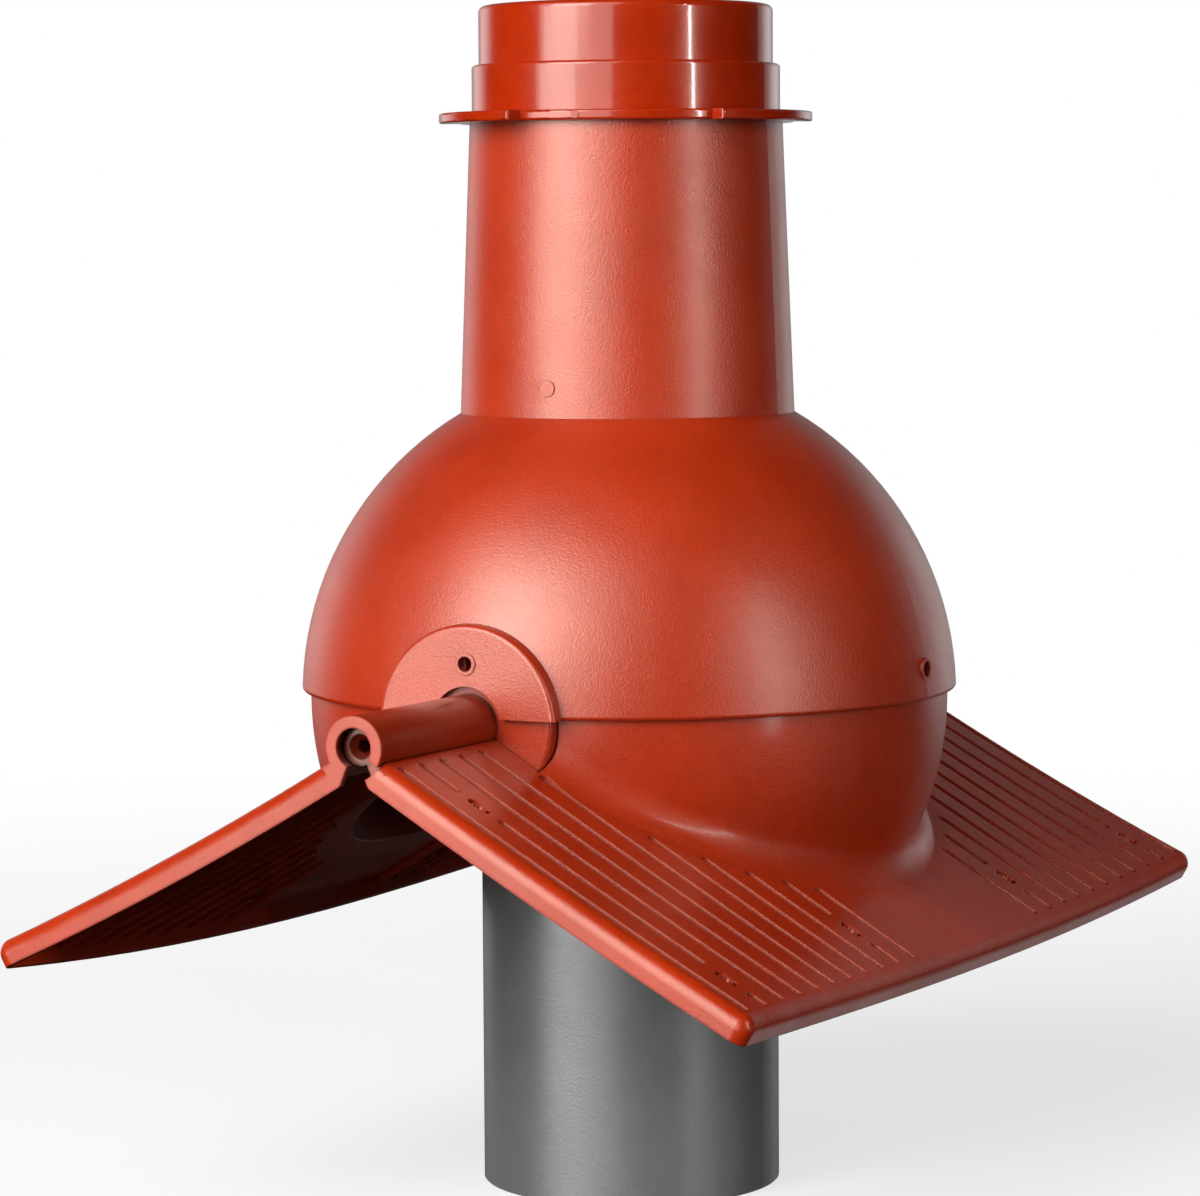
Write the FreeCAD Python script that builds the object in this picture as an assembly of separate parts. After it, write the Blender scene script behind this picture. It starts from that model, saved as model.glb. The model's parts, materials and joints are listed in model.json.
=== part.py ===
import FreeCAD, Part
import math
import os
from FreeCAD import Vector

# Adjustable ridge outlet for a 110 mm vent pipe, in millimetres.
# +Z is up, the ridge runs along Y, and the origin is the centre of the pipe's lower end.
# Two like wings hinge on each other along the ridge. Each carries a part of a round bowl,
# and the hood's dome covers both bowls. The pipe runs up through the hood to the collar.

# Height of the ridge axis above the pipe's lower end, the roof pitch shown, and how much steeper it folds
hinge_height = 181.0
roof_pitch = 30.5
fold_travel = 20.0

# Grey vent pipe
pipe_radius = 55.0
pipe_wall = 2.8
pipe_edge = 0.5

# Hood, with heights above the ridge axis: dome below, tapered neck above
dome_radius = 120.8
hood_wall = 2.8
rim_height = 2.6
rim_edge = 1.5
neck_height = 209.8
neck_wall = 2.0
neck_fit = 0.4
neck_draft = 4.1

# Round bosses on the hood at both ridge ends, with an arch over the hinge sleeve
boss_radius = 35.0
boss_stand = 0.2
boss_edge = 1.6
arch_gap = 2.7
boss_hole_radius = 2.7
boss_hole_height = 21.4
side_hole_radius = 2.8
side_hole_height = 13.7
hole_rim_width = 1.3
hole_rim_stand = 0.5
gate_radius = 3.0
gate_stand = 0.5
gate_height = 114.6

# Collar: flange on the neck with lugs for the cowl's clips, two stepped bands, spigot inside the pipe
flange_radius = 61.8
flange_thickness = 3.7
flange_edge = 0.9
lug_radius = 68.6
lug_count = 3
lug_angle = 52.4
lug_turn = -6.0
collar_gate_radius = 1.4
collar_gate_turn = -79.1
lower_band_radius = 56.5
lower_band_height = 17.5
step_edge = 1.4
upper_band_radius = 53.9
upper_band_height = 21.5
collar_edge = 2.4
collar_wall = 3.0
spigot_fit = 0.2
spigot_wall = 2.8
spigot_length = 30.0

# Rubber ring round the spigot
seal_width = 5.0
seal_depth = 1.2
seal_drop = 12.0
seal_fit = 0.1

# Bowls under the dome, and the fillet where a bowl meets its plate
bowl_fit = 0.4
bowl_wall = 2.6
bowl_overlap = 27.0
bowl_fillet = 12.0

# Round cheek at the sleeve end of each wing, with the curved slot behind the boss hole
cheek_wall = 2.6
cheek_rim_depth = 6.0
cheek_edge = 1.5
cheek_gap = 0.6

# Hinge: a rod on one wing turns in the open sleeve of the other
sleeve_radius = 10.8
sleeve_wall = 4.0
hinge_fit = 0.4
rod_recess = 4.5
rod_hole_radius = 2.2
rod_hole_depth = 16.0
rod_mouth_radius = 4.4
rod_mouth_depth = 2.6
cheek_slot_spare = 4.6
web_angle = 8.0
web_thickness = 2.6
leg_thickness = 4.0
lip_gap_angle = 4.6
leg_spare_angle = 3.0
leg_clear_angle = 60.0

# Wing plate, measured down the slope from the ridge axis, with its corners lifted:
# by the lift less the twist at the rod end, and by their sum at the sleeve end
plate_half_length = 195.5
plate_reach = 168.2
plate_top = 1.0
plate_wall = 2.5
skirt_depth = 9.5
skirt_wall = 2.7
plate_edge = 5.0
corner_lift = 6.8
lift_twist = 2.2
lift_start = 9.0

# Grooves in the plate with ribs below them, from the plate's ends to a bare middle
groove_end_gap = 7.8
groove_pitch = 13.32
groove_middle_gap = 108.8
groove_width = 3.6
groove_depth = 0.9
groove_margin = 6.0
groove_start = 14.5
groove_clear = 0.3
rib_width = 2.4
rib_height = 3.0

# Slots for the fixing screws, on the second groove from the end and from the middle,
# each with a ring across it that the screw's head sits in
slot_groove = 2
slot_width = 5.0
slot_length = 8.8
slot_clear = 4.2
upper_slot_reach = 41.0
outer_slot_margin = 22.5
inner_slot_margin = 27.2
seat_drop = 0.5
seat_depth = 1.5
seat_radius = 2.0
screw_radius = 1.3

# How far a cutting shape runs past what it cuts, how deep a feature is rooted in its own wall,
# how near two places are that count as one, and a quarter turn in degrees
over = 1.0
root = 0.5
near = 0.001
quarter = 90.0

# Sizes and angles that follow from those above
neck_top = hinge_height + neck_height
pipe_bore = pipe_radius - pipe_wall
neck_bore = pipe_radius + neck_fit
neck_top_radius = neck_bore + neck_wall
neck_base_radius = neck_top_radius + neck_draft
crease_height = math.sqrt(dome_radius ** 2 - neck_base_radius ** 2)
dome_inner = dome_radius - hood_wall
bowl_radius = dome_inner - bowl_fit
bowl_inner = bowl_radius - bowl_wall
bowl_arc = roof_pitch + bowl_overlap
boss_face = dome_radius + boss_stand
boss_bore_face = boss_face - hood_wall
boss_bore = boss_radius - hood_wall
cheek_radius = boss_bore - bowl_fit
cheek_bore = cheek_radius - cheek_wall
cheek_face = boss_bore_face - bowl_fit
cheek_back = cheek_face - cheek_wall
cutout_radius = cheek_radius + cheek_gap
arch_radius = sleeve_radius + arch_gap
sleeve_bore = sleeve_radius - sleeve_wall
rod_radius = sleeve_bore - hinge_fit
rod_inner_end = cheek_face + hinge_fit
rod_outer_end = plate_half_length - rod_recess
plate_start = sleeve_radius + hinge_fit
leg_angle = quarter - roof_pitch - fold_travel - leg_spare_angle
leg_reach = (skirt_depth - plate_top) / math.sin(math.radians(leg_angle))
lip_angle = 2.0 * (quarter + roof_pitch) + web_angle - lip_gap_angle
fillet_foot = math.sqrt((bowl_radius + bowl_fillet) ** 2 - (plate_top + bowl_fillet) ** 2)
spigot_radius = pipe_bore - spigot_fit
spigot_bore = spigot_radius - spigot_wall
collar_bore = upper_band_radius - collar_wall

groove_room = plate_half_length - groove_end_gap - 0.5 * groove_middle_gap
groove_count = 1 + math.floor(groove_room / groove_pitch + near)

x_axis = Vector(1, 0, 0)
y_axis = Vector(0, 1, 0)
z_axis = Vector(0, 0, 1)
origin = Vector(0, 0, 0)


# Plain shapes

def block(x0, x1, y0, y1, z0, z1):
    return Part.makeBox(x1 - x0, y1 - y0, z1 - z0, Vector(x0, y0, z0))


def ridge_bar(radius, y0, y1, height=0.0):
    """A round bar along the ridge, on the ridge axis or at a height above it."""
    low, high = sorted((y0, y1))
    return Part.makeCylinder(radius, high - low, Vector(0, low, height), y_axis)


def rounded_bar(radius, y0, y1, edge_radius):
    """A round bar along the ridge axis, with its edge rounded at the second end."""
    bar = ridge_bar(radius, y0, y1)
    rim = [edge for edge in bar.Edges
           if abs(edge.BoundBox.YMin - y1) < near and abs(edge.BoundBox.YMax - y1) < near]
    return bar.makeFillet(edge_radius, rim)


def cross_bar(radius, x0, x1, height):
    """A round bar square to the ridge, above the ridge axis."""
    low, high = sorted((x0, x1))
    return Part.makeCylinder(radius, high - low, Vector(low, 0, height), x_axis)


def revolved(outline, axis, angle=360.0):
    """Revolve a closed outline; a pair in it is an arc's middle and end."""
    edges = []
    here = outline[0]
    for step in outline[1:] + outline[:1]:
        if isinstance(step, tuple):
            middle, end = step
            edges.append(Part.Arc(here, middle, end).toShape())
        else:
            end = step
            edges.append(Part.makeLine(here, end))
        here = end
    return Part.Face(Part.Wire(edges)).revolve(origin, axis, angle)


def polar(radius, angle):
    """A point of the slope section: 0 degrees is down the slope, 90 is straight off the plate."""
    turn = math.radians(angle)
    return Vector(radius * math.cos(turn), 0, radius * math.sin(turn))


def sector(inner, outer, start, end, y0, y1):
    """A piece of a ring about the ridge axis, between two angles of the slope section."""
    middle = 0.5 * (start + end)
    edges = [
        Part.makeLine(polar(inner, start), polar(outer, start)),
        Part.Arc(polar(outer, start), polar(outer, middle), polar(outer, end)).toShape(),
        Part.makeLine(polar(outer, end), polar(inner, end)),
        Part.Arc(polar(inner, end), polar(inner, middle), polar(inner, start)).toShape(),
    ]
    piece = Part.Face(Part.Wire(edges)).extrude(Vector(0, y1 - y0, 0))
    piece.translate(Vector(0, y0, 0))
    return piece


# Vent pipe

def make_pipe():
    tube = Part.makeCylinder(pipe_radius, neck_top)
    tube = tube.cut(Part.makeCylinder(pipe_bore, neck_top))
    rim = [edge for edge in tube.Edges if edge.BoundBox.ZMax < pipe_edge]
    return tube.makeChamfer(pipe_edge, rim)


# Hood

def round_section(radius, low, high):
    """An arc of a sphere's section from one height to another, as its middle and end points."""
    start = math.asin(low / radius)
    end = math.asin(high / radius)
    middle = 0.5 * (start + end)
    return tuple(Vector(radius * math.cos(a), 0, radius * math.sin(a)) for a in (middle, end))


def hood_shell():
    """The dome and its neck, one wall turned about the pipe axis."""
    inner_base = neck_base_radius - neck_wall
    inner_crease = math.sqrt(dome_inner ** 2 - inner_base ** 2)
    level = rim_height + rim_edge
    centre = Vector(math.sqrt((dome_radius - rim_edge) ** 2 - level ** 2), 0, level)
    on_rim = centre - z_axis * rim_edge
    on_dome = centre * (dome_radius / (dome_radius - rim_edge))
    toward = (on_rim + on_dome) * 0.5 - centre
    return revolved([
        on_rim,
        (centre + toward.normalize() * rim_edge, on_dome),
        round_section(dome_radius, on_dome.z, crease_height),
        Vector(neck_top_radius, 0, neck_height),
        Vector(neck_bore, 0, neck_height),
        Vector(inner_base, 0, inner_crease),
        round_section(dome_inner, inner_crease, rim_height),
    ], z_axis)


def boss(side):
    """The round boss on one ridge end of the dome, with a low ring for its screw hole."""
    blank = rounded_bar(boss_radius, 0, side * boss_face, boss_edge)
    ring = ridge_bar(boss_hole_radius + hole_rim_width, side * (boss_face - root),
                     side * (boss_face + hole_rim_stand), boss_hole_height)
    below_rim = block(-boss_radius, boss_radius, -boss_face, boss_face, -boss_radius, rim_height)
    return blank.multiFuse([ring]).cut([Part.makeSphere(dome_inner), below_rim])


def boss_openings(side):
    """Behind a boss the hood is hollow for the wing's cheek, and its face has an arch and a hole."""
    outside = side * (boss_face + over)
    return [
        ridge_bar(boss_bore, side * neck_base_radius, side * boss_bore_face),
        ridge_bar(arch_radius, side * neck_base_radius, outside),
        ridge_bar(boss_hole_radius, side * neck_base_radius, outside, boss_hole_height),
    ]


def side_ring(side):
    """The low ring round the screw hole in one side of the dome."""
    face = math.sqrt(dome_radius ** 2 - side_hole_height ** 2) + hole_rim_stand
    ring = cross_bar(side_hole_radius + hole_rim_width, 0, side * face, side_hole_height)
    return ring.cut(Part.makeSphere(dome_radius - root))


def side_hole(side):
    outside = side * (dome_radius + over)
    return cross_bar(side_hole_radius, side * neck_base_radius, outside, side_hole_height)


def gate():
    """The round mark of the moulding gate on the neck."""
    share = (gate_height - crease_height) / (neck_height - crease_height)
    face = neck_base_radius - share * neck_draft
    mark = ridge_bar(gate_radius, 0, -face - gate_stand, gate_height)
    return mark.cut(Part.makeCylinder(face - root, neck_height))


def make_hood():
    hood = hood_shell().multiFuse([boss(1), boss(-1), side_ring(1), side_ring(-1), gate()])
    hood = hood.cut(boss_openings(1) + boss_openings(-1) + [side_hole(1), side_hole(-1)])
    hood = hood.removeSplitter()
    hood.translate(Vector(0, 0, hinge_height))
    return hood


# Collar and its ring

def make_collar():
    flange_top = neck_top + flange_thickness
    step = flange_top + lower_band_height
    top = step + upper_band_height
    groove_top = neck_top - seal_drop
    groove_floor = spigot_radius - seal_depth
    collar = revolved([
        Vector(spigot_bore, 0, neck_top - spigot_length),
        Vector(spigot_radius, 0, neck_top - spigot_length),
        Vector(spigot_radius, 0, groove_top - seal_width),
        Vector(groove_floor, 0, groove_top - seal_width),
        Vector(groove_floor, 0, groove_top),
        Vector(spigot_radius, 0, groove_top),
        Vector(spigot_radius, 0, neck_top),
        Vector(flange_radius, 0, neck_top),
        Vector(flange_radius, 0, flange_top),
        Vector(lower_band_radius, 0, flange_top),
        Vector(lower_band_radius, 0, step),
        Vector(upper_band_radius, 0, step),
        Vector(upper_band_radius, 0, top),
        Vector(collar_bore, 0, top),
        Vector(collar_bore, 0, flange_top),
        Vector(spigot_bore, 0, neck_top),
    ], z_axis)
    for radius, height, size in ((upper_band_radius, top, collar_edge),
                                 (lower_band_radius, step, step_edge),
                                 (flange_radius, flange_top, flange_edge),
                                 (flange_radius, neck_top, flange_edge)):
        collar = collar.makeFillet(size, [ring_edge(collar, radius, height)])
    lugs = [lug(number) for number in range(lug_count)]
    return collar.multiFuse(lugs + [collar_gate()])


def ring_edge(shape, radius, height):
    """The full round edge of that radius at that height."""
    for edge in shape.Edges:
        box = edge.BoundBox
        level = abs(box.ZMin - height) < near and abs(box.ZMax - height) < near
        if level and abs(box.XMax - radius) < near:
            return edge
    raise ValueError("no round edge of radius %g at height %g" % (radius, height))


def lug(number):
    """One of the lugs round the flange, with its outer edges and corners rounded."""
    wedge = Part.makeCylinder(lug_radius, flange_thickness, Vector(0, 0, neck_top), z_axis, lug_angle)
    rounded = []
    for edge in wedge.Edges:
        middle = edge.valueAt(0.5 * (edge.FirstParameter + edge.LastParameter))
        if math.hypot(middle.x, middle.y) > lug_radius - near:
            rounded.append(edge)
    wedge = wedge.makeFillet(flange_edge, rounded)
    wedge = wedge.cut(Part.makeCylinder(flange_radius - flange_edge - root, neck_top + flange_thickness))
    wedge.rotate(origin, z_axis, lug_turn - 0.5 * lug_angle + number * 4.0 * quarter / lug_count)
    return wedge


def collar_gate():
    """The round mark of the moulding gate on the flange's edge."""
    middle = neck_top + 0.5 * flange_thickness
    mark = cross_bar(collar_gate_radius, 0, flange_radius + gate_stand, middle)
    mark = mark.cut(Part.makeCylinder(flange_radius - root, neck_top + flange_thickness))
    mark.rotate(origin, z_axis, collar_gate_turn)
    return mark


def make_seal():
    top = neck_top - seal_drop
    ring = Part.makeCylinder(pipe_bore - seal_fit, seal_width, Vector(0, 0, top - seal_width))
    hole = Part.makeCylinder(spigot_radius - seal_depth + seal_fit, seal_width,
                             Vector(0, 0, top - seal_width))
    return ring.cut(hole)


# Wing, built flat: X runs down the slope from the ridge axis, and Z is off the plate.
# Its rod is at the -Y end and its sleeve and cheek at the +Y end.

def lift(x, y):
    """How far the plate's corners rise above its middle."""
    along = y / plate_half_length
    down = (x - lift_start) / (plate_reach - lift_start)
    return (corner_lift + lift_twist * along) * (along * down) ** 2


def pole(down, along, level):
    """A control point of the lifted top, from its shares down the slope and along the ridge."""
    u, v, w = along
    rise = corner_lift * (u * v + v * w + w * u) / 3.0 + lift_twist * u * v * w
    return Vector(lift_start + (plate_reach - lift_start) * sum(down) / 2.0,
                  plate_half_length * sum(along) / 3.0,
                  level + rise * down[0] * down[1])


def lifted_slab(x0, x1, y0, y1, z0, z1):
    """A slab between two levels that follows the plate's lifted corners."""
    span = plate_reach - lift_start
    a0, a1 = (x0 - lift_start) / span, (x1 - lift_start) / span
    b0, b1 = y0 / plate_half_length, y1 / plate_half_length
    across = ((a0, a0), (a0, a1), (a1, a1))
    along = ((b0, b0, b0), (b0, b0, b1), (b0, b1, b1), (b1, b1, b1))
    poles = [[pole(down, ends, z1) for ends in along] for down in across]
    top = Part.BSplineSurface()
    top.buildFromPolesMultsKnots(poles, (3, 3), (4, 4), (0, 1), (0, 1), False, False, 2, 3)
    return top.toShape().extrude(Vector(0, 0, z0 - z1))


def is_outside_edge(edge):
    """Whether an edge of the plain plate is rounded: the top's outer edges and the eave's corners."""
    middle = edge.valueAt(0.5 * (edge.FirstParameter + edge.LastParameter))
    on_top = abs(middle.z - plate_top - lift(middle.x, middle.y)) < near
    at_eave = abs(middle.x - plate_reach) < near
    at_end = abs(abs(middle.y) - plate_half_length) < near
    return (on_top and (at_eave or at_end)) or (at_eave and at_end)


def plate_tray():
    """The plate with a skirt down its two ends and its eave."""
    low = plate_top - skirt_depth
    tray = lifted_slab(lift_start, plate_reach, -plate_half_length, plate_half_length, low, plate_top)
    tray = tray.makeFillet(plate_edge, [edge for edge in tray.Edges if is_outside_edge(edge)])
    hollow = lifted_slab(
        lift_start - over, plate_reach - skirt_wall, skirt_wall - plate_half_length,
        plate_half_length - skirt_wall, low - over, plate_top - plate_wall)
    return tray.cut(hollow)


def groove_rows():
    """Each groove's place along the ridge and its number, counted from the nearer plate end."""
    outermost = plate_half_length - groove_end_gap
    for side in (-1, 1):
        for number in range(1, groove_count + 1):
            yield side * (outermost - (number - 1) * groove_pitch), number


def groove_ridge_end(y):
    """Where a groove starts: below the sleeve, the cheek or the bowl's fillet, clear of them over its width."""
    near_side = abs(y) - 0.5 * groove_width - groove_clear
    if near_side >= fillet_foot:
        return groove_start
    if near_side >= cheek_face:
        return cutout_radius + over
    return math.sqrt(fillet_foot ** 2 - near_side ** 2)


def slots_on(number):
    """Where the slots of one groove lie down the slope."""
    reaches = []
    if number == slot_groove:
        reaches += [upper_slot_reach, plate_reach - outer_slot_margin]
    if number == groove_count + 1 - slot_groove:
        reaches.append(plate_reach - inner_slot_margin)
    return reaches


def groove_runs(y, number):
    """The stretches of one groove, broken at its slots."""
    start = groove_ridge_end(y)
    for reach in slots_on(number):
        clear = 0.5 * slot_length + slot_clear
        yield start, reach - clear
        start = reach + clear
    yield start, plate_reach - groove_margin


def groove_cutters():
    radius = 0.5 * groove_width
    cutters = []
    for y, number in groove_rows():
        for start, end in groove_runs(y, number):
            cutters.append(lifted_slab(start + radius, end - radius, y - radius, y + radius,
                                       plate_top - groove_depth, plate_top + over))
            for x in (start + radius, end - radius):
                floor = plate_top - groove_depth + lift(x, y)
                cutters.append(Part.makeCylinder(radius, groove_depth + over, Vector(x, y, floor)))
    return cutters


def slot_cutters():
    radius = 0.5 * slot_width
    half = 0.5 * slot_length - radius
    low = plate_top - skirt_depth
    high = plate_top + corner_lift + lift_twist + over
    cutters = []
    for y, number in groove_rows():
        for reach in slots_on(number):
            cutters.append(block(reach - half, reach + half, y - radius, y + radius, low, high))
            for x in (reach - half, reach + half):
                cutters.append(Part.makeCylinder(radius, high - low, Vector(x, y, low)))
    return cutters


def screw_seats():
    """The ring across each slot, dished for the head of a screw."""
    seats = []
    for y, number in groove_rows():
        for reach in slots_on(number):
            low = Vector(reach, y, plate_top - seat_drop - seat_depth + lift(reach, y))
            ring = Part.makeCylinder(0.5 * slot_width + root, seat_depth, low)
            seats.append(ring.cut(Part.makeCone(screw_radius, seat_radius, seat_depth, low)))
    return seats


def ribs():
    under = plate_top - plate_wall
    return [lifted_slab(groove_ridge_end(y), plate_reach - skirt_wall + root,
                        y - 0.5 * rib_width, y + 0.5 * rib_width, under - rib_height, under + root)
            for y, number in groove_rows()]


def bowl():
    """The round shell that rises from the plate, open at the rod end and joined to the cheek."""
    join_radius = cheek_radius - 0.5 * cheek_wall

    def point(radius, reach, side):
        return Vector(reach, side * math.sqrt(radius ** 2 - reach ** 2), 0)

    return revolved([
        point(bowl_radius, cutout_radius, -1),
        (Vector(bowl_radius, 0, 0), point(bowl_radius, join_radius, 1)),
        point(bowl_inner, join_radius, 1),
        (Vector(bowl_inner, 0, 0), point(bowl_inner, cutout_radius, -1)),
    ], -y_axis, bowl_arc)


def bowl_foot():
    """The hollow fillet between the bowl and the plate's top."""
    centre_height = plate_top + bowl_fillet
    share = bowl_radius / (bowl_radius + bowl_fillet)
    on_bowl = Vector(fillet_foot * share, 0, centre_height * share)
    on_plate = Vector(fillet_foot, 0, plate_top)
    centre = Vector(fillet_foot, 0, centre_height)
    toward = (on_bowl + on_plate) * 0.5 - centre
    middle = centre + toward.normalize() * bowl_fillet
    inside = bowl_radius - 0.5 * bowl_wall
    foot = revolved([
        on_plate,
        (middle, on_bowl),
        Vector(inside, 0, plate_top - root),
        Vector(fillet_foot, 0, plate_top - root),
    ], z_axis, 2.0 * quarter)
    foot.rotate(origin, z_axis, -quarter)
    foot = foot.cut(ridge_bar(cutout_radius, -fillet_foot - over, 0))
    return foot.cut(ridge_bar(cheek_radius - root, 0, fillet_foot + over))


def cheek():
    """The round cheek at the sleeve end, a shallow cup with a curved slot."""
    rim_end = cheek_face - cheek_rim_depth
    cup = rounded_bar(cheek_radius, rim_end, cheek_face, cheek_edge)
    cup = cup.cut(ridge_bar(cheek_bore, rim_end, cheek_back))
    slot_start = quarter + roof_pitch - cheek_slot_spare
    slot_end = quarter + roof_pitch + fold_travel + cheek_slot_spare
    slot = sector(boss_hole_height - boss_hole_radius, boss_hole_height + boss_hole_radius,
                  slot_start, slot_end, cheek_back - over, cheek_face + over)
    return cup.cut(slot)


def sleeve():
    """The open sleeve with its leg, from the plate's end to the cheek."""
    tube = sector(sleeve_bore, sleeve_radius, -leg_angle, lip_angle, cheek_back, plate_half_length)
    leg = sector(sleeve_radius - root, leg_reach, -leg_angle, 0,
                 plate_half_length - skirt_wall, plate_half_length)
    return [tube, leg]


def rod():
    """The rod with its web, shoulder and leg, from the plate's end to the other wing's cheek."""
    bar = ridge_bar(rod_radius, -rod_outer_end, -rod_inner_end)
    hole = ridge_bar(rod_hole_radius, -rod_outer_end - over, rod_hole_depth - rod_outer_end)
    mouth = Part.makeCone(rod_mouth_radius, rod_hole_radius, rod_mouth_depth,
                          Vector(0, -rod_outer_end, 0), y_axis)
    down = polar(web_thickness, -web_angle - quarter)
    inner = polar(rod_radius - root, -web_angle)
    outer = polar(plate_start + web_thickness, -web_angle)
    web = Part.Face(Part.makePolygon([inner, outer, outer + down, inner + down, inner]))
    web = web.extrude(Vector(0, rod_outer_end - rod_inner_end, 0))
    web.translate(Vector(0, -rod_outer_end, 0))
    leg = sector(rod_radius - root, leg_reach, -leg_angle, -web_angle,
                 -rod_outer_end, leg_thickness - rod_outer_end)
    shoulder_low = outer.z - web_thickness
    shoulder = block(plate_start - root, plate_start + web_thickness, -rod_outer_end, -rod_inner_end,
                     shoulder_low, plate_top - root)
    corner = block(plate_start - root, leg_reach, -plate_half_length + root,
                   leg_thickness - rod_outer_end, plate_top - skirt_depth, plate_top - plate_wall + root)
    corner = corner.fuse(shoulder).cut(ridge_bar(plate_start, -plate_half_length, -cheek_face))
    return [bar.multiFuse([web, leg]).cut([hole, mouth]), corner]


def flat_wing():
    plate = plate_tray()
    opening = [
        Part.makeSphere(bowl_inner),
        ridge_bar(cutout_radius, -rod_inner_end, 0),
        ridge_bar(plate_start, -plate_half_length - over, 0),
        ridge_bar(cheek_bore, 0, cheek_back),
        ridge_bar(0.5 * (sleeve_bore + sleeve_radius), 0, plate_half_length + over),
    ]
    plate = plate.cut(opening)
    wing = plate.multiFuse(ribs() + [bowl(), bowl_foot(), cheek()] + sleeve() + rod())
    below_leg = sector(rod_radius, cheek_radius + over, -leg_angle - leg_clear_angle, -leg_angle,
                       -plate_half_length - over, plate_half_length + over)
    wing = wing.cut([below_leg] + groove_cutters() + slot_cutters())
    return wing.multiFuse(screw_seats()).removeSplitter()


def set_wing(wing, quarters):
    """Tip the flat wing to the roof pitch and turn it to its side of the ridge."""
    placed = wing.copy()
    placed.rotate(origin, y_axis, roof_pitch)
    placed.rotate(origin, z_axis, quarter * quarters)
    placed.translate(Vector(0, 0, hinge_height))
    return placed


def save(name, shape):
    if shape.ShapeType == "Compound" and len(shape.Solids) == 1:
        shape = shape.Solids[0]
    print(name, "solids", len(shape.Solids), "valid", shape.isValid(), "volume", round(shape.Volume))
    shape.exportStep("parts/%s.step" % name)


def main():
    os.makedirs("parts", exist_ok=True)
    wing = flat_wing()
    save("vent_pipe", make_pipe())
    save("hood", make_hood())
    save("collar", make_collar())
    save("spigot_seal", make_seal())
    save("right_wing", set_wing(wing, 0))
    save("left_wing", set_wing(wing, 2))


main()
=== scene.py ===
"""Looks of a roof vent pipe with a domed hood, an upper collar and two folding roof plates."""

import json
import math

import bpy
from mathutils import Matrix, Vector

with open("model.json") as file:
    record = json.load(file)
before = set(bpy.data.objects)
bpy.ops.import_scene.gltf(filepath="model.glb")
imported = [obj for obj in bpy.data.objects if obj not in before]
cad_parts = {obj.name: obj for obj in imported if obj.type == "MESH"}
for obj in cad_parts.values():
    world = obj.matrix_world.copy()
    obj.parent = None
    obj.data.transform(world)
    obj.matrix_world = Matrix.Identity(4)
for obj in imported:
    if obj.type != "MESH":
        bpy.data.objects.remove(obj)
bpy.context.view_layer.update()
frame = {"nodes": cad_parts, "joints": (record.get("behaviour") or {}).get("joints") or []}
nodes = frame["nodes"]

WHITE = (1.0, 1.0, 1.0, 1.0)
BLACK = (0.0, 0.0, 0.0, 1.0)

# Middle of the ridge's axis, on which both plates hinge
HINGE = Vector(frame["joints"][0]["pos_m"])

# Camera, to the right and a little above, aimed near the hinge
VIEW_TURN = math.radians(28.33)
VIEW_RISE = math.radians(4.78)
VIEW_ROLL = math.radians(-0.35)
VIEW_DISTANCE = 1.6296
AIM_RIGHT = -0.01083
AIM_UP = 0.03498
LENS_MM = 131.92
SENSOR_MM = 36.0
CLIP_NEAR = 0.05
CLIP_FAR = 60.0

# Moulded plastic, with sizes in metres: the colour's patches and mottle, the specks, the gloss
PATCH_SIZE = 0.055
PATCH_SHARE = 0.72
MOTTLE_SIZE = 0.0032
MOTTLE_SHARE = 0.28
TONE_BLEND = (0.36, 0.64)
SPECKS_PER_METRE = 95.0
SPECK_EDGE = (0.03, 0.07)
SPECK_CLUSTER_SIZE = 0.012
SPECK_CLUSTER_EDGE = (0.60, 0.66)
SPECK_STRENGTH = 0.55
SPECK_SHADE = 0.45
# Share of the low tone that painted shade leaves in seams and holes
CREVICE_PAINTED_SHADE = 0.12
GLOSS_PATCH_SIZE = 0.02
GLOSS_BLEND = (0.3, 0.7)
WAVE_SIZE = 0.014
WARM_GLOSS = (1.0, 0.77, 0.62, 1.0)

# Wing's bowl: how far from the hinge it ends, and what it adds to roughness and to grain depth
BOWL_END = (0.128, 0.138)
BOWL_ROUGHER = 0.14
BOWL_DEEPER = 1.6

# Wing's hinge barrel: its end along the axis, the radius of its outside and of its bore, and how
# much of its colour each of them loses; inside the bore the loss is painted shade
BARREL_END = (0.1940, 0.1945)
BARREL_EDGE = (0.0111, 0.0115)
BARREL_DARKER = 0.40
BORE_EDGE = (0.0070, 0.0074)
BORE_PAINTED_SHADE = 0.65

# Backdrop that mirrored rays see behind the object: it fades at its sides and in its middle by
# the cosine from straight behind, and at its top and foot by how steeply the ray rises
BACKDROP_SIDES = (0.56, 0.80)
BACKDROP_MIDDLE = (0.86, 0.97)
MIDDLE_LEVEL = 0.35
BACKDROP_TOP = (0.10, 0.42)
TOP_LEVEL = 0.09
BACKDROP_FOOT = (-0.25, -0.03)

# Pale card low behind the object, which mirrored rays see too: its turn from the camera, its rise
# and its edge by the cosine from its middle
CARD_TURN = math.radians(149.0)
CARD_RISE = math.radians(-27.0)
CARD_EDGE = (0.955, 0.99)
CARD_LEVEL = 0.38

# Light that the world gives to the object: the same from all sides, and the backdrop's share
EVEN_FILL = 0.045
BACKDROP_FILL = 0.9

# Floor: half its side, where it fades to white round the object, and its tones
FLOOR_REACH = 20.0
FLOOR_FADE = (0.35, 1.3)
FLOOR_PALE = (0.36, 0.36, 0.36, 1.0)
FLOOR_LIFT = 0.70
FLOOR_DARK = (0.04, 0.04, 0.04, 1.0)


def direction(turn, rise):
    """The unit vector towards a place, by its turn from the front and its rise, in radians."""
    return Vector((
        math.sin(turn) * math.cos(rise),
        -math.cos(turn) * math.cos(rise),
        math.sin(rise),
    ))


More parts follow.
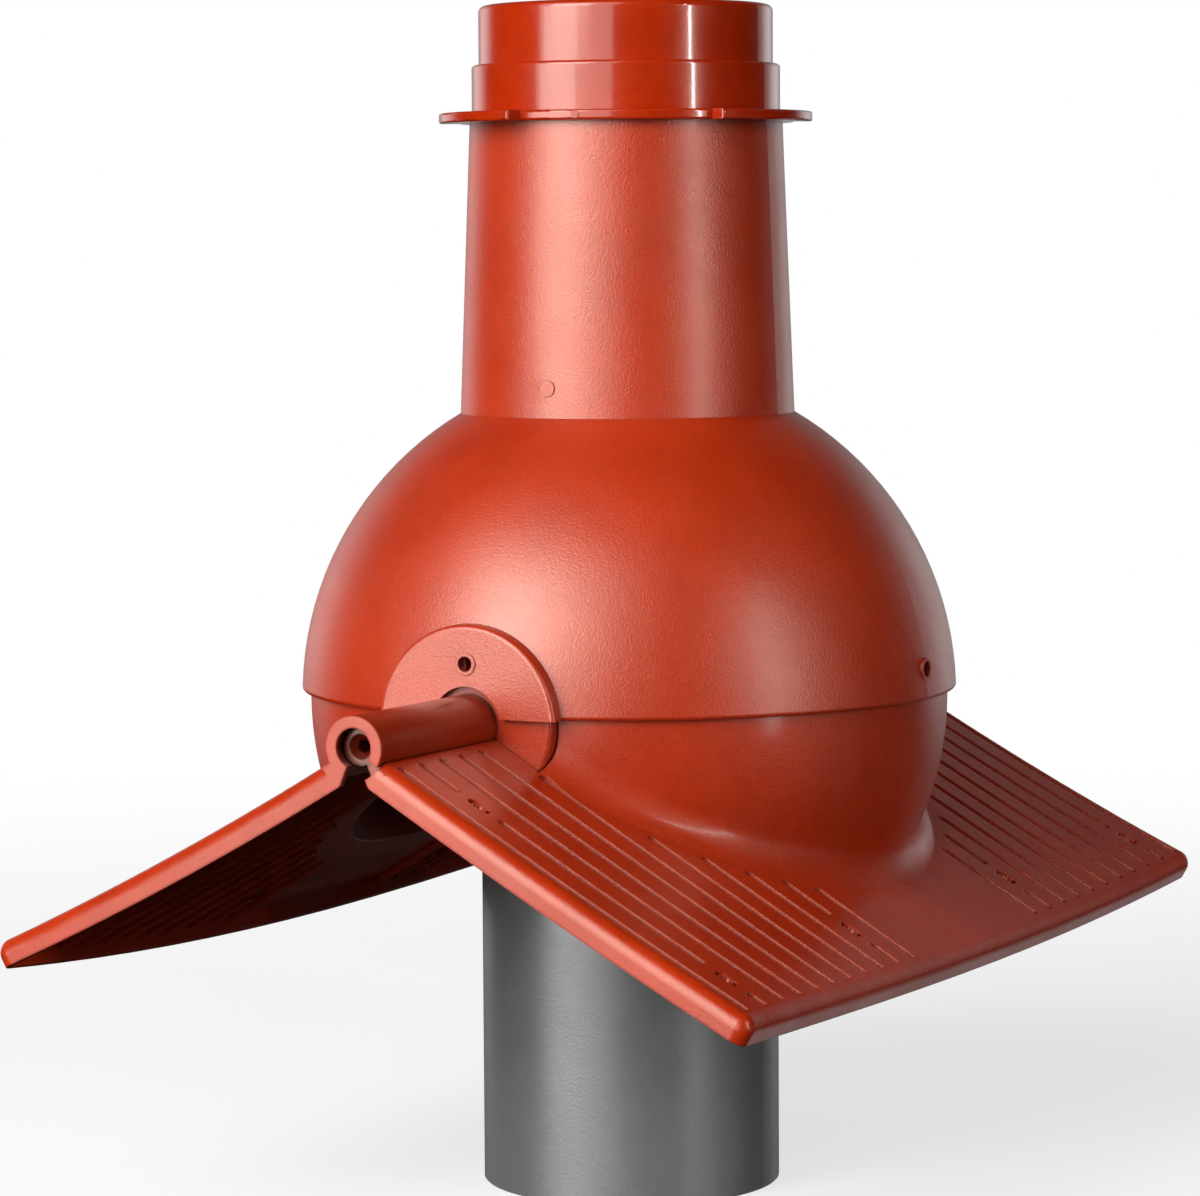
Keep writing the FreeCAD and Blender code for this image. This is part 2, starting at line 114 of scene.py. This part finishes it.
def place_camera():
    """Sets up the camera at its distance from the hinge, shifted a little in its own picture plane."""
    back = direction(VIEW_TURN, VIEW_RISE)
    level = (-back).cross(Vector((0.0, 0.0, 1.0))).normalized()
    upright = level.cross(-back)
    right = math.cos(VIEW_ROLL) * level + math.sin(VIEW_ROLL) * upright
    up = math.cos(VIEW_ROLL) * upright - math.sin(VIEW_ROLL) * level
    spot = HINGE + right * AIM_RIGHT + up * AIM_UP + back * VIEW_DISTANCE
    data = bpy.data.cameras.new("camera")
    data.sensor_fit = "HORIZONTAL"
    data.sensor_width = SENSOR_MM
    data.lens = LENS_MM
    data.clip_start = CLIP_NEAR
    data.clip_end = CLIP_FAR
    camera = bpy.data.objects.new("camera", data)
    bpy.context.scene.collection.objects.link(camera)
    camera.matrix_world = Matrix((
        (right.x, up.x, back.x, spot.x),
        (right.y, up.y, back.y, spot.y),
        (right.z, up.z, back.z, spot.z),
        (0.0, 0.0, 0.0, 1.0),
    ))
    bpy.context.scene.camera = camera


def area_light(name, turn, rise, distance, width, height, power):
    """A rectangular lamp that faces the hinge, by its turn to the camera's right and rise in degrees."""
    data = bpy.data.lights.new(name, "AREA")
    data.shape = "RECTANGLE"
    data.size = width
    data.size_y = height
    data.energy = power
    lamp = bpy.data.objects.new(name, data)
    bpy.context.scene.collection.objects.link(lamp)
    toward = direction(VIEW_TURN + math.radians(turn), math.radians(rise))
    lamp.location = HINGE + toward * distance
    lamp.rotation_euler = toward.to_track_quat("Z", "Y").to_euler()


class Tree:
    """Short calls for building one node tree."""

    def __init__(self, tree):
        self.tree = tree
        tree.nodes.clear()

    def node(self, kind, **settings):
        made = self.tree.nodes.new(kind)
        for key, value in settings.items():
            setattr(made, key, value)
        return made

    def link(self, source, target):
        self.tree.links.new(source, target)

    def feed(self, socket, value):
        """Sets a socket to a plain value, or links it when the value is another socket."""
        if isinstance(value, bpy.types.NodeSocket):
            self.link(value, socket)
        else:
            socket.default_value = value

    def math(self, operation, a, b=0.0):
        made = self.node("ShaderNodeMath", operation=operation)
        self.feed(made.inputs[0], a)
        self.feed(made.inputs[1], b)
        return made.outputs[0]

    def vector_math(self, operation, a, b=None):
        """A vector math node, from whose outputs the caller picks one."""
        made = self.node("ShaderNodeVectorMath", operation=operation)
        self.link(a, made.inputs[0])
        if b is not None:
            made.inputs[1].default_value = b
        return made

    def length(self, a):
        return self.vector_math("LENGTH", a).outputs["Value"]

    def dot(self, a, b):
        return self.vector_math("DOT_PRODUCT", a, b).outputs["Value"]

    def parts(self, a):
        """The outputs X, Y and Z of a vector."""
        made = self.node("ShaderNodeSeparateXYZ")
        self.link(a, made.inputs[0])
        return made.outputs

    def span(self, value, ends, out_low=0.0, out_high=1.0):
        """Maps a value between two ends smoothly to out_low..out_high, and holds it outside them."""
        made = self.node("ShaderNodeMapRange", clamp=True)
        made.interpolation_type = "SMOOTHSTEP"
        self.feed(made.inputs[0], value)
        for socket, number in zip(made.inputs[1:5], (*ends, out_low, out_high)):
            socket.default_value = number
        return made.outputs[0]

    def noise(self, coords, size, detail=2.0, roughness=0.5, distortion=0.0):
        """Noise whose features are about size metres across."""
        made = self.node("ShaderNodeTexNoise")
        self.feed(made.inputs["Vector"], coords)
        made.inputs["Scale"].default_value = 1.0 / size
        made.inputs["Detail"].default_value = detail
        made.inputs["Roughness"].default_value = roughness
        made.inputs["Distortion"].default_value = distortion
        return made.outputs["Fac"]

    def mix(self, factor, a, b):
        made = self.node("ShaderNodeMix", data_type="RGBA")
        self.feed(made.inputs[0], factor)
        self.feed(made.inputs[6], a)
        self.feed(made.inputs[7], b)
        return made.outputs[2]

    def bump(self, height, distance, normal=None):
        made = self.node("ShaderNodeBump")
        made.inputs["Strength"].default_value = 1.0
        made.inputs["Distance"].default_value = distance
        self.link(height, made.inputs["Height"])
        if normal is not None:
            self.link(normal, made.inputs["Normal"])
        return made.outputs["Normal"]

    def shader(self, kind, socket, value):
        """The output of a plain shader that has one socket set."""
        made = self.node(kind)
        made.inputs[socket].default_value = value
        return made.outputs[0]

    def mix_shader(self, factor, a, b):
        made = self.node("ShaderNodeMixShader")
        for socket, source in zip(made.inputs, (factor, a, b)):
            self.link(source, socket)
        return made.outputs[0]


def shade(colour, share):
    """A colour darkened to a share of itself."""
    return tuple(c * share for c in colour[:3]) + (1.0,)


def plastic(
    name, low, high, gloss, grain, grain_depth, wave_depth, specular=0.5, coat=0.0, coat_gloss=0.2,
    tint=WHITE, edge=0.0, crevice=0.0, openness=(0.10, 0.50), zones=None,
):
    """Moulded plastic: two tones of one colour in soft patches, fine grain, a slight wave and specks.

    With an edge radius, light catches its sharp edges as if they were rounded by that much.
    Painted shade darkens seams and holes that are about crevice metres wide, where shadow falls,
    and it fades out between the two values of openness, which is 1 on an open surface. The zones
    function gives where the surface is more grained, and how much of its colour stays.
    """
    material = bpy.data.materials.new(name)
    material.use_nodes = True
    t = Tree(material.node_tree)
    coords = t.node("ShaderNodeTexCoord").outputs["Object"]
    shader = t.node("ShaderNodeBsdfPrincipled")
    output = t.node("ShaderNodeOutputMaterial")
    t.link(shader.outputs[0], output.inputs[0])

    patches = t.noise(coords, PATCH_SIZE, detail=3.0, roughness=0.6)
    mottle = t.noise(coords, MOTTLE_SIZE, roughness=0.6, distortion=0.6)
    patches = t.math("MULTIPLY", patches, PATCH_SHARE)
    blend = t.math("ADD", patches, t.math("MULTIPLY", mottle, MOTTLE_SHARE))
    body = t.mix(t.span(blend, TONE_BLEND), low, high)

    speck = t.node("ShaderNodeTexVoronoi", feature="F1")
    t.link(coords, speck.inputs["Vector"])
    speck.inputs["Scale"].default_value = SPECKS_PER_METRE
    chosen = t.span(t.noise(coords, SPECK_CLUSTER_SIZE, detail=1.0), SPECK_CLUSTER_EDGE)
    spot = t.math("MULTIPLY", t.span(speck.outputs["Distance"], SPECK_EDGE, 1.0, 0.0), chosen)
    spot = t.math("MULTIPLY", spot, SPECK_STRENGTH)
    body = t.mix(spot, body, shade(low, SPECK_SHADE))
    # Painted shade: ambient occlusion darkens the colour in seams, holes and slots, where shadow falls
    if crevice:
        open_air = t.node("ShaderNodeAmbientOcclusion", samples=3)
        open_air.inputs["Distance"].default_value = crevice
        unshaded = t.span(open_air.outputs["AO"], openness)
        body = t.mix(unshaded, shade(low, CREVICE_PAINTED_SHADE), body)
    roughness = t.span(t.noise(coords, GLOSS_PATCH_SIZE, roughness=0.55), GLOSS_BLEND, *gloss)
    pits = t.noise(coords, grain, roughness=0.55, distortion=0.4)
    if zones:
        grained, stays = zones(t, coords)
        body = t.mix(stays, BLACK, body)
        roughness = t.math("ADD", roughness, t.math("MULTIPLY", grained, BOWL_ROUGHER))
        deeper = t.math("ADD", 1.0, t.math("MULTIPLY", grained, BOWL_DEEPER))
        pits = t.math("MULTIPLY", pits, deeper)
    t.link(body, shader.inputs["Base Color"])

    t.link(roughness, shader.inputs["Roughness"])
    shader.inputs["Specular IOR Level"].default_value = specular
    shader.inputs["Specular Tint"].default_value = tint
    shader.inputs["Coat Weight"].default_value = coat
    shader.inputs["Coat Roughness"].default_value = coat_gloss

    rounded = None
    if edge:
        bevel = t.node("ShaderNodeBevel", samples=4)
        bevel.inputs["Radius"].default_value = edge
        rounded = bevel.outputs["Normal"]
    surface = t.bump(pits, grain_depth, normal=rounded)
    surface = t.bump(t.noise(coords, WAVE_SIZE, detail=1.0), wave_depth, normal=surface)
    t.link(surface, shader.inputs["Normal"])
    return material


def wing_zones(t, coords):
    """The wing's bowl is more grained and its hinge barrel keeps less colour; its bore gets painted
    shade.
    """
    centred = t.vector_math("SUBTRACT", coords, HINGE).outputs[0]
    grained = t.span(t.length(centred), BOWL_END, 1.0, 0.0)
    before_end = t.span(t.math("ABSOLUTE", t.parts(centred)["Y"]), BARREL_END, 1.0, 0.0)
    from_axis = t.length(t.vector_math("MULTIPLY", centred, (1.0, 0.0, 1.0)).outputs[0])
    barrel = t.math("MULTIPLY", t.span(from_axis, BARREL_EDGE, BARREL_DARKER, 0.0), before_end)
    # Painted shade inside the barrel's bore
    bore_shade = t.math("MULTIPLY", t.span(from_axis, BORE_EDGE, BORE_PAINTED_SHADE, 0.0), before_end)
    stays = t.math("MULTIPLY", t.math("SUBTRACT", 1.0, barrel), t.math("SUBTRACT", 1.0, bore_shade))
    return grained, stays


def dress(name, material):
    """Gives a CAD piece its material in place of the plain one."""
    mesh = nodes[name].data
    mesh.materials.clear()
    mesh.materials.append(material)


hood_plastic = plastic(
    "hood_plastic",
    low=(0.42, 0.024, 0.0012, 1.0),
    high=(0.49, 0.031, 0.0022, 1.0),
    gloss=(0.33, 0.39),
    grain=0.0008,
    grain_depth=0.00018,
    wave_depth=0.00006,
    specular=1.0,
    coat=0.6,
    coat_gloss=0.33,
    tint=WARM_GLOSS,
    edge=0.0004,
    crevice=0.005,
    openness=(0.20, 0.80),
)
collar_plastic = plastic(
    "collar_plastic",
    low=(0.38, 0.019, 0.0010, 1.0),
    high=(0.45, 0.026, 0.0018, 1.0),
    gloss=(0.22, 0.28),
    grain=0.0011,
    grain_depth=0.00003,
    wave_depth=0.00012,
    specular=0.5,
    coat=1.0,
    coat_gloss=0.10,
    tint=WARM_GLOSS,
)
wing_plastic = plastic(
    "wing_plastic",
    low=(0.39, 0.022, 0.0012, 1.0),
    high=(0.47, 0.030, 0.0024, 1.0),
    gloss=(0.28, 0.36),
    grain=0.00095,
    grain_depth=0.00006,
    wave_depth=0.00015,
    specular=0.6,
    coat=0.35,
    coat_gloss=0.20,
    tint=WARM_GLOSS,
    edge=0.0012,
    crevice=0.004,
    zones=wing_zones,
)
pipe_plastic = plastic(
    "pipe_plastic",
    low=(0.144, 0.145, 0.146, 1.0),
    high=(0.172, 0.173, 0.174, 1.0),
    gloss=(0.33, 0.42),
    grain=0.0009,
    grain_depth=0.00011,
    wave_depth=0.00010,
    specular=1.0,
    coat=1.0,
    coat_gloss=0.34,
)
seal_rubber = plastic(
    "seal_rubber",
    low=(0.012, 0.012, 0.012, 1.0),
    high=(0.022, 0.022, 0.022, 1.0),
    gloss=(0.55, 0.70),
    grain=0.0006,
    grain_depth=0.00005,
    wave_depth=0.00005,
)

dress("hood", hood_plastic)
dress("collar", collar_plastic)
dress("right_wing", wing_plastic)
dress("left_wing", wing_plastic)
dress("vent_pipe", pipe_plastic)
dress("spigot_seal", seal_rubber)


def seen_directly(t, path):
    """1 for rays that come from the camera or pass through something, else 0."""
    return t.math("MAXIMUM", path["Is Camera Ray"], path["Is Transmission Ray"])


def make_world():
    """White for the camera, a backdrop behind the object for mirrored rays, and a low fill."""
    world = bpy.data.worlds.new("studio")
    bpy.context.scene.world = world
    world.use_nodes = True
    t = Tree(world.node_tree)
    path = t.node("ShaderNodeLightPath").outputs
    heading = t.node("ShaderNodeTexCoord").outputs["Generated"]
    rise = t.parts(heading)["Z"]
    behind = t.dot(heading, -direction(VIEW_TURN, 0.0))
    backdrop = t.span(behind, BACKDROP_SIDES)
    for share in (
        t.span(rise, BACKDROP_TOP, 1.0, TOP_LEVEL),
        t.span(rise, BACKDROP_FOOT),
        t.span(behind, BACKDROP_MIDDLE, 1.0, MIDDLE_LEVEL),
    ):
        backdrop = t.math("MULTIPLY", backdrop, share)
    card = t.dot(heading, direction(VIEW_TURN + CARD_TURN, CARD_RISE))
    mirrored = t.math("ADD", backdrop, t.span(card, CARD_EDGE, 0.0, CARD_LEVEL))
    fill = t.math("ADD", EVEN_FILL, t.math("MULTIPLY", backdrop, BACKDROP_FILL))
    glossy = path["Is Glossy Ray"]
    level = t.math(
        "ADD",
        t.math("MULTIPLY", glossy, mirrored),
        t.math("MULTIPLY", t.math("SUBTRACT", 1.0, glossy), fill),
    )
    background = t.node("ShaderNodeBackground")
    background.inputs["Color"].default_value = WHITE
    t.link(t.math("MAXIMUM", seen_directly(t, path), level), background.inputs["Strength"])
    output = t.node("ShaderNodeOutputWorld")
    t.link(background.outputs[0], output.inputs[0])


def make_floor():
    """A floor that shows the object's shadow and turns white further out; bounced light finds it dark."""
    mesh = bpy.data.meshes.new("floor")
    signs = [(-1.0, -1.0), (1.0, -1.0), (1.0, 1.0), (-1.0, 1.0)]
    corners = [(x * FLOOR_REACH, y * FLOOR_REACH, 0.0) for x, y in signs]
    mesh.from_pydata(corners, [], [(0, 1, 2, 3)])
    floor = bpy.data.objects.new("floor", mesh)
    bpy.context.scene.collection.objects.link(floor)
    material = bpy.data.materials.new("floor")
    material.use_nodes = True
    t = Tree(material.node_tree)
    path = t.node("ShaderNodeLightPath").outputs
    coords = t.node("ShaderNodeTexCoord").outputs["Object"]
    far = t.span(t.length(coords), FLOOR_FADE)
    lit = t.node("ShaderNodeAddShader")
    t.link(t.shader("ShaderNodeBsdfDiffuse", "Color", FLOOR_PALE), lit.inputs[0])
    t.link(t.shader("ShaderNodeEmission", "Strength", FLOOR_LIFT), lit.inputs[1])
    white = t.shader("ShaderNodeEmission", "Strength", 1.0)
    shown = t.mix_shader(far, lit.outputs[0], white)
    dark = t.shader("ShaderNodeBsdfDiffuse", "Color", FLOOR_DARK)
    final = t.mix_shader(seen_directly(t, path), dark, shown)
    output = t.node("ShaderNodeOutputMaterial")
    t.link(final, output.inputs[0])
    mesh.materials.append(material)
    floor.visible_glossy = False
    floor.visible_shadow = False


place_camera()
make_world()
make_floor()
area_light("softbox", turn=-40.0, rise=20.0, distance=2.4, width=2.8, height=3.3, power=66.0)
area_light("softbox_core", turn=-44.0, rise=26.0, distance=2.35, width=1.3, height=1.4, power=33.0)
area_light("softbox_foot", turn=-52.0, rise=0.0, distance=2.35, width=1.2, height=0.9, power=10.0)
area_light("strip", turn=50.0, rise=12.0, distance=2.3, width=0.05, height=1.7, power=15.0)
area_light("low_right", turn=75.0, rise=-14.0, distance=2.3, width=1.3, height=1.0, power=0.8)

bpy.context.scene.view_settings.view_transform = "Standard"
